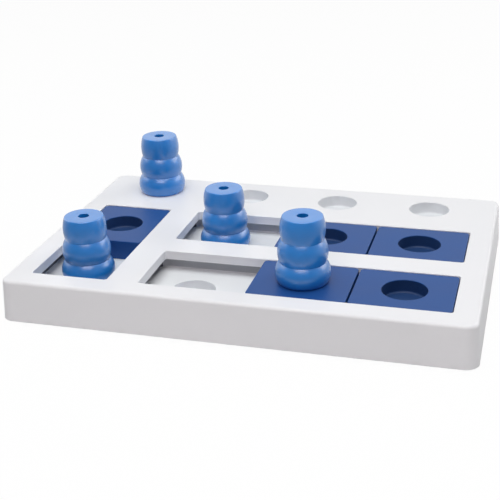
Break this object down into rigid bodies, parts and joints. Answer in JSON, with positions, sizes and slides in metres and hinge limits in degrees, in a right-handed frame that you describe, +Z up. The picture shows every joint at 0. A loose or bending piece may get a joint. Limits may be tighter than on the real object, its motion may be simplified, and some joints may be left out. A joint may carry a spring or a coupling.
{
  "type": "dog puzzle feeder toy",
  "caption": "White treat board with three slots, dark blue tiles that slide along them, round pits and light blue ringed cones that lift off.",
  "frame": {"origin": "centre of the board's footprint, on the surface that it stands on", "axes": "+X along the board's long side, to the right seen from the front; +Y to the strip with the row of pits; +Z up"},
  "size_m": [0.4, 0.275, 0.0957],
  "materials": {
    "board_plastic": "cool white moulded plastic, satin",
    "tile_plastic": "dark blue moulded plastic, fine satin",
    "cone_plastic": "mid blue moulded plastic, soft semi-gloss",
    "foot_rubber": "grey soft rubber",
    "screw_steel": "zinc-plated steel"
  },
  "bodies": {
    "board": {"top_cover": "board_plastic", "base_tray": "board_plastic", "foot_front_left": "foot_rubber", "foot_front_right": "foot_rubber", "foot_back_left": "foot_rubber", "foot_back_right": "foot_rubber", "cover_screw_1": "screw_steel", "cover_screw_2": "screw_steel", "cover_screw_3": "screw_steel", "cover_screw_4": "screw_steel", "cover_screw_5": "screw_steel", "cover_screw_6": "screw_steel", "cover_screw_7": "screw_steel", "cover_screw_8": "screw_steel"},
    "left_tile": {"tile_left": "tile_plastic"},
    "upper_end": {"tile_upper_end": "tile_plastic"},
    "upper_inner": {"tile_upper_inner": "tile_plastic"},
    "lower_end": {"tile_lower_end": "tile_plastic"},
    "lower_inner": {"tile_lower_inner": "tile_plastic"},
    "frame_cone": {"cone_frame": "cone_plastic"},
    "left_cone": {"cone_left": "cone_plastic"},
    "upper_cone": {"cone_upper": "cone_plastic"},
    "lower_cone": {"cone_lower": "cone_plastic"}
  },
  "joints": [
    {"name": "lower_end_slide", "type": "slide", "parent": "board", "child": "lower_end", "axis": [-1, 0, 0], "range_m": [0, 0.0905]},
    {"name": "lower_inner_slide", "type": "slide", "parent": "lower_end", "child": "lower_inner", "axis": [1, 0, 0], "range_m": [-0.0905, 0]},
    {"name": "lower_cone_lift", "type": "slide", "parent": "lower_inner", "child": "lower_cone", "axis": [0, 0, 1], "range_m": [0, 0.08]},
    {"name": "upper_end_slide", "type": "slide", "parent": "board", "child": "upper_end", "axis": [1, 0, 0], "range_m": [-0.0905, 0]},
    {"name": "upper_inner_slide", "type": "slide", "parent": "board", "child": "upper_inner", "axis": [1, 0, 0], "range_m": [-0.0905, 0]},
    {"name": "upper_cone_lift", "type": "slide", "parent": "board", "child": "upper_cone", "axis": [0, 0, 1], "range_m": [0, 0.0905]},
    {"name": "left_tile_slide", "type": "slide", "parent": "board", "child": "left_tile", "axis": [0, 1, 0], "range_m": [-0.079, 0]},
    {"name": "left_cone_lift", "type": "slide", "parent": "board", "child": "left_cone", "axis": [0, 0, 1], "range_m": [0, 0.14]},
    {"name": "frame_cone_lift", "type": "slide", "parent": "board", "child": "frame_cone", "axis": [0, 0, 1], "range_m": [0, 0.08]}
  ],
  "couplings": [
    {"joint": "upper_inner_slide", "follows": "upper_end_slide", "ratio": 1},
    {"joint": "upper_cone_lift", "follows": "upper_end_slide", "ratio": -1},
    {"joint": "left_cone_lift", "follows": "left_tile_slide", "ratio": -1.75}
  ]
}
